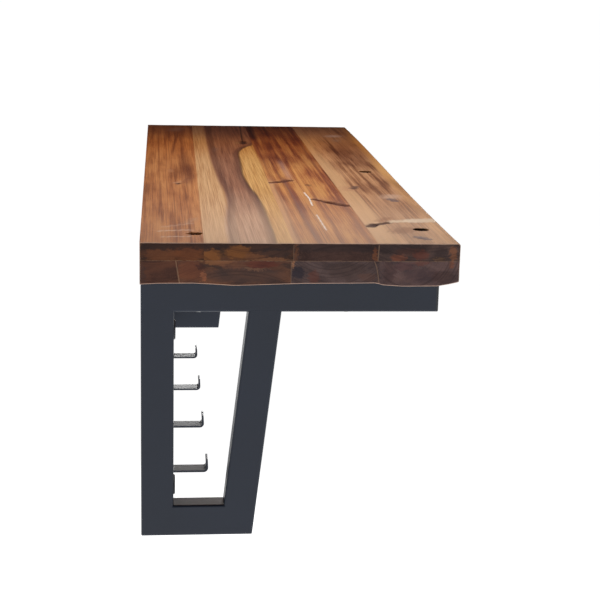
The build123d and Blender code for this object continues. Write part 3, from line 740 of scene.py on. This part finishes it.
def centre_back_figure(x, u, v, colour):
    """Second plank: sapwood, a purple-brown heart and a yellowish tongue of sapwood."""
    grain = noise(x * 0.005, u * 0.22, v * 0.2, 4.0, 0.65, 0.15) * 0.6
    grain = grain + noise(x * 0.006, u * 0.9, v * 0.9 + 3.0, 3.0, 0.74) * 0.65 - 0.12
    upper_line = [(0, 101), (150, 104), (300, 112), (460, 109), (600, 106), (900, 106), (1200, 109)]
    lower_line = [(0, 155), (150, 157), (320, 156), (425, 150), (525, 147), (600, 149), (700, 152),
                  (780, 154), (830, 161), (870, 172), (900, 186), (1200, 196)]
    wobble = (grain - 0.5) * 16
    below_top = u - route(x, upper_line)
    below_low = u - route(x, lower_line)
    sap = smooth(below_top + wobble, 2.6, -2.6)
    tongue = smooth(below_low + wobble * 0.3, -1.5, 1.5)
    sapwood = ramp(grain, (0.4, tone(174, 122, 78)), (0.6, tone(212, 168, 122)))
    yellow = ramp(grain, (0.4, tone(172, 116, 58)), (0.6, tone(214, 166, 104)))
    heart = ramp(grain, (0.38, tone(104, 62, 46)), (0.5, tone(142, 92, 68)), (0.62, tone(168, 118, 90)))
    # painted haze: the heart paler towards the left end
    painted_haze_tones = tone(158, 110, 86), tone(190, 144, 116), tone(216, 176, 148)
    heart_with_painted_haze = ramp(grain, *zip((0.38, 0.5, 0.62), painted_haze_tones))
    heart = mix(smooth(x, 440, 60) * 0.8, heart, heart_with_painted_haze)
    seam = tone(78, 44, 36)
    heart = mix(smooth(maths("ABSOLUTE", below_top + wobble * 0.5 - 8), 9.0, 2.0) * 0.5, heart, seam)
    heart = mix(smooth(maths("ABSOLUTE", below_low + wobble * 0.4 + 4), 8.0, 1.0) * 0.55, heart, seam)
    colour = mix(0.85 + grain * 0.1, colour, heart)
    colour = mix(sap, colour, sapwood)
    colour = mix(tongue, colour, yellow)
    rim = smooth(maths("ABSOLUTE", below_low + wobble * 0.3 - 0.5), 3.4, 0.4)
    colour = mix(rim * smooth(x, 905, 880) * 0.75, colour, tone(70, 38, 32))
    for gap in (below_top - 4.5, below_low + 2.5):
        line = smooth(maths("ABSOLUTE", gap + wobble * 0.4), 2.4, 0.6) * smooth(x, 520, 300)
        colour = mix(line * 0.55, colour, tone(96, 54, 44))
    tail = stripe(x, u, [(0, 170), (930, 171), (1050, 175), (1200, 180)], 0.9, 1.3, 935, None, 12)
    return mix(tail * 0.85, colour, tone(34, 18, 14))


def centre_front_figure(x, u, v, colour):
    """Third plank: warm orange-brown with dark red lines and a pale purple haze."""
    red = tone(112, 52, 40)
    orange = tone(206, 140, 78)
    from_joint = u - joint(TOP_JOINTS[2], x)
    ripple = noise(x * 0.005, u * 0.14, 5.0, 4.0, 0.65) * 18 - 9
    strip = smooth(from_joint + ripple, 13.0, 6.0) * smooth(x, 540, 440)
    colour = mix(strip * 0.6, colour, tone(210, 158, 112))
    lines = [
        ([(0, 184), (600, 190), (1200, 196)], 1.2, 2.0, None, None, 0.5, red),
        ([(0, 208), (480, 209), (1200, 214)], 2.6, 3.0, None, 500, 0.7, red),
        ([(0, 205), (480, 206), (1200, 210)], 0.8, 1.5, None, 500, 0.5, tone(96, 62, 70)),
        ([(0, 234), (300, 236), (1200, 240)], 1.6, 2.4, None, 380, 0.55, red),
        ([(0, 266), (600, 270), (1200, 277)], 2.2, 2.6, None, None, 0.6, red),
        ([(0, 197), (600, 200), (1200, 204)], 2.6, 3.0, None, 420, 0.5, orange),
        ([(0, 228), (600, 232), (1200, 236)], 1.4, 2.2, None, 700, 0.5, orange),
        ([(0, 216), (600, 217), (1200, 220)], 4.0, 5.0, 500, 690, 0.4, tone(190, 150, 132)),
        ([(0, 192), (1000, 195), (1200, 199)], 6.0, 5.0, 980, None, 0.75, tone(60, 30, 28)),
    ]
    for line, half, soft, start, stop, strength, paint in lines:
        colour = mix(stripe(x, u, line, half, soft, start, stop) * strength, colour, paint)
    return mix(smooth(x, 560, 720) * 0.6, colour, SHADE, "MULTIPLY")


def front_figure(x, u, v, colour):
    """Front plank: a light strip at its joint, tan heart and yellowish sapwood along the natural edge."""
    light = tone(198, 153, 110)
    from_joint = u - joint(TOP_JOINTS[3], x)
    ripple = noise(x * 0.004, u * 0.12, 2.0, 4.0, 0.65) * 22 - 11
    strip_width = smooth(x, 900, 150) * 12 + 14
    strip = smooth(from_joint + ripple - strip_width, 4.0, -6.0)
    colour = mix(strip * 0.75, colour, light)
    from_edge = live_edge(x) - u
    sap = smooth(from_edge + ripple * 0.6, 17.0, 11.0) * (smooth(x, 380, 620) * 0.6 + 0.35)
    colour = mix(sap, colour, tone(204, 150, 92))
    seam = stripe(x, u, [(0, 300), (300, 301), (1200, 306)], 1.0, 2.0, 180, 700)
    colour = mix(seam * 0.45, colour, tone(126, 80, 60))
    colour = mix(patch(x, u, (140, 326), (200, 17)) * 0.6, colour, SHADE, "MULTIPLY")
    return mix(patch(x, u, (830, 346), (190, 36)) * 0.9, colour, SHADE, "MULTIPLY")


TIMBERS = {
    "top_plank_back": Timber((30, -150), 1.3, tone(132, 76, 42), tone(164, 100, 58),
                             tone(182, 117, 68), tone(198, 134, 82), 0.0),
    "top_plank_centre_back": Timber((125, 70), 4.1, tone(108, 68, 52), tone(134, 90, 68),
                                    tone(158, 112, 84), tone(186, 140, 100), 0.3),
    "top_plank_centre_front": Timber((238, -130), 7.7, tone(110, 54, 36), tone(150, 84, 48),
                                     tone(174, 108, 60), tone(196, 136, 78), 0.28),
    "top_plank_front": Timber((330, 95), 10.9, tone(112, 67, 44), tone(156, 104, 69),
                              tone(182, 131, 92), tone(198, 148, 106), 0.34),
    "base_strip_back": Timber((15, 40), 13.3, tone(96, 60, 44), tone(128, 82, 58),
                              tone(150, 102, 72), tone(170, 122, 88), 0.0),
    "base_strip_centre_back": Timber((112, -180), 16.9, tone(104, 64, 44), tone(140, 92, 62),
                                     tone(164, 116, 80), tone(188, 142, 100), 0.0),
    "base_strip_centre_front": Timber((220, 30), 19.1, tone(92, 58, 44), tone(124, 82, 60),
                                      tone(148, 104, 78), tone(172, 128, 94), 0.0),
    "base_strip_front": Timber((312, -8), 22.7, tone(98, 62, 48), tone(130, 88, 66),
                               tone(152, 108, 80), tone(176, 132, 98), 0.0),
}
# each takes x, u, v and the plain wood's colour, and returns the colour with its figure
FIGURES = {
    "top_plank_back": back_figure,
    "top_plank_centre_back": centre_back_figure,
    "top_plank_centre_front": centre_front_figure,
    "top_plank_front": front_figure,
}


def build_slab():
    """The eight boards, the holes through the front two and their woods."""
    names = ["back", "centre_back", "centre_front", "front"]
    for i, name in enumerate(names):
        natural = name == "front"

        node = f"top_plank_{name}"
        back = TOP_JOINTS[i]
        front = None if natural else TOP_JOINTS[i + 1]
        marks = MARKS[node]
        places = places_along(marks, TOP_STEP)
        sections = [top_section(x, back, front, marks, natural, TOP_SAMPLES) for x in places]
        piece = board_mesh(f"slab_{node}", sections, places)
        if natural:
            wide, narrow = COUNTERBORE / 2, CLEARANCE / 2
            step = -COUNTERBORE_DEPTH
            below = LAYER - DRILL_SPARE
            drilled(piece, [(DRILL_SPARE, wide), (step, wide), (step, narrow), (below, narrow)])
        wood = wood_material(node, TIMBERS[node], FIGURES[node])
        finish_board(piece, node, wood)

        node = f"base_strip_{name}"
        back = BASE_JOINTS[i]
        front = None if natural else BASE_JOINTS[i + 1]
        places = places_along([], BASE_STEP)
        sections = [base_section(x, back, front, natural, BASE_SAMPLES) for x in places]
        piece = board_mesh(f"slab_{node}", sections, places)
        if natural:
            wide, narrow = NUT_RECESS / 2, CLEARANCE / 2
            step = BOTTOM + NUT_RECESS_DEPTH
            above, below = LAYER + DRILL_SPARE, BOTTOM - DRILL_SPARE
            drilled(piece, [(above, narrow), (step, narrow), (step, wide), (below, wide)])
        wood = wood_material(node, TIMBERS[node])
        finish_board(piece, node, wood)


# ------------------------------------------------------------------ steel, fasteners and plastic
def powder_coat():
    """Satin anthracite powder coat with a fine orange peel."""
    material, tree, shader = new_material("powder_coated_steel")
    x, u, v = slab_position(tree)
    cloud = noise(x * 0.006, u * 0.006, v * 0.006, 3.0, 0.55)
    grit = noise(x * 1.6, u * 1.6, v * 1.6, 2.0, 0.6)
    colour = ramp(cloud, (0.3, tone(21, 31, 48)), (0.7, tone(27, 38, 57)))
    colour = mix(smooth(grit, 0.6, 0.75) * 0.25, colour, tone(66, 73, 86))
    tree.links.new(colour, shader.inputs["Base Color"])
    plug(tree, grit * 0.12 + cloud * 0.08 + 0.26, shader.inputs["Roughness"])
    shader.inputs["Specular IOR Level"].default_value = 0.42
    bump = tree.nodes.new("ShaderNodeBump")
    bump.inputs["Strength"].default_value = 0.12
    bump.inputs["Distance"].default_value = 0.0002
    plug(tree, grit, bump.inputs["Height"])
    tree.links.new(bump.outputs[0], shader.inputs["Normal"])
    return material


def bare_metal(name, colour, worn, roughness):
    """Plated or blackened steel with faint handling marks."""
    material, tree, shader = new_material(name)
    x, u, v = slab_position(tree)
    stain = noise(x * 0.25, u * 0.25, v * 0.25, 3.0, 0.6)
    scratch = noise(x * 3.0, u * 0.6, v * 3.0, 2.0, 0.6)
    tree.links.new(ramp(stain, (0.35, colour), (0.75, worn)), shader.inputs["Base Color"])
    plug(tree, stain * 0.2 + scratch * 0.12 + roughness, shader.inputs["Roughness"])
    shader.inputs["Metallic"].default_value = 1.0
    return material


def moulded_plastic():
    """Fine matt moulded plastic."""
    material, tree, shader = new_material("black_plastic")
    x, u, v = slab_position(tree)
    grain = noise(x * 2.2, u * 2.2, v * 2.2, 2.0, 0.7)
    colour = ramp(grain, (0.3, tone(40, 43, 49)), (0.75, tone(52, 56, 63)))
    tree.links.new(colour, shader.inputs["Base Color"])
    plug(tree, grain * 0.15 + 0.45, shader.inputs["Roughness"])
    bump = tree.nodes.new("ShaderNodeBump")
    bump.inputs["Strength"].default_value = 0.2
    bump.inputs["Distance"].default_value = 0.0002
    plug(tree, grain, bump.inputs["Height"])
    tree.links.new(bump.outputs[0], shader.inputs["Normal"])
    return material


def dress_cad_nodes():
    """Give each carried-over CAD node the finish of its slot."""
    finishes = {
        "powder_coated_steel": powder_coat(),
        "zinc_plated_steel": bare_metal("zinc_plated_steel", tone(168, 170, 172), tone(196, 194, 186), 0.25),
        "blackened_steel": bare_metal("blackened_steel", tone(46, 46, 50), tone(70, 68, 68), 0.3),
        "black_plastic": moulded_plastic(),
    }
    for part in frame["record"]["subparts"]:
        finish = finishes.get(part["material_slot"])
        if finish:
            slots = frame["nodes"][part["node"]].material_slots
            for slot in slots:
                slot.material = finish


# ------------------------------------------------------------------ floor, lights and camera
def add_floor():
    """A large plain pale floor well below the bench."""
    size, level = 600.0, -1.0
    mesh = bpy.data.meshes.new("floor")
    mesh.from_pydata(
        [(-size, -size, level), (size, -size, level), (size, size, level), (-size, size, level)],
        [],
        [(0, 1, 2, 3)],
    )
    floor = bpy.data.objects.new("floor", mesh)
    bpy.context.scene.collection.objects.link(floor)
    material, tree, shader = new_material("pale_floor")
    x, u, v = slab_position(tree)
    speck = noise(x * 0.01, u * 0.01, v * 0.01, 2.0)
    colour = ramp(speck, (0.3, (0.86, 0.86, 0.86, 1)), (0.7, (0.9, 0.9, 0.9, 1)))
    tree.links.new(colour, shader.inputs["Base Color"])
    shader.inputs["Roughness"].default_value = 0.9
    shader.inputs["Specular IOR Level"].default_value = 0.0
    shader.inputs["Emission Color"].default_value = (1, 1, 1, 1)
    shader.inputs["Emission Strength"].default_value = 1.0
    mesh.materials.append(material)


def add_panel(name, place, aim, size, power):
    """A soft rectangular studio light, itself out of sight."""
    light = bpy.data.lights.new(name, "AREA")
    light.shape = "RECTANGLE"
    light.size, light.size_y = size
    light.energy = power
    panel = bpy.data.objects.new(name, light)
    panel.location = place
    panel.rotation_euler = (Vector(aim) - Vector(place)).to_track_quat("-Z", "Y").to_euler()
    panel.visible_camera = False
    bpy.context.scene.collection.objects.link(panel)


def add_lights():
    """A dim studio, a long softbox over the slab, a front fill and a low light beyond the right end."""
    world = bpy.data.worlds.new("studio")
    world.use_nodes = True
    world.node_tree.nodes["Background"].inputs[0].default_value = (1, 1, 1, 1)
    world.node_tree.nodes["Background"].inputs[1].default_value = 0.03
    bpy.context.scene.world = world
    add_panel("overhead", (-0.14, -0.22, 0.6), (-0.14, -0.22, 0.0), (1.1, 0.7), 4.7)
    add_panel("front_fill", (-4.0, -0.6, 0.9), (0.0, -0.2, 0.2), (2.5, 2.0), 8.0)
    add_panel("low_light", (2.0, -0.3, 0.12), (0.0, -0.15, 0.02), (1.5, 0.19), 17.0)


def add_camera():
    """The camera, at the place solved from the vanishing lines of the slab and the bracket."""
    yaw, pitch, roll = 0.10318, 0.23397, 0.02428
    right = Vector((-math.sin(yaw), -math.cos(yaw), 0))
    up = Vector((math.sin(pitch) * math.cos(yaw), -math.sin(pitch) * math.sin(yaw), math.cos(pitch)))
    forward = Vector((math.cos(pitch) * math.cos(yaw), -math.cos(pitch) * math.sin(yaw), -math.sin(pitch)))
    tilted_right = right * math.cos(roll) + up * math.sin(roll)
    tilted_up = up * math.cos(roll) - right * math.sin(roll)
    lens = bpy.data.cameras.new("camera")
    lens.lens = 83.63
    lens.sensor_width = 36.0
    camera = bpy.data.objects.new("camera", lens)
    turn = Matrix((tilted_right, tilted_up, -forward)).transposed().to_4x4()
    camera.matrix_world = Matrix.Translation((-2.16107, -0.02288, 0.53108)) @ turn
    bpy.context.scene.collection.objects.link(camera)
    bpy.context.scene.camera = camera


build_slab()
dress_cad_nodes()
add_floor()
add_lights()
add_camera()
bpy.context.scene.view_settings.view_transform = "Standard"
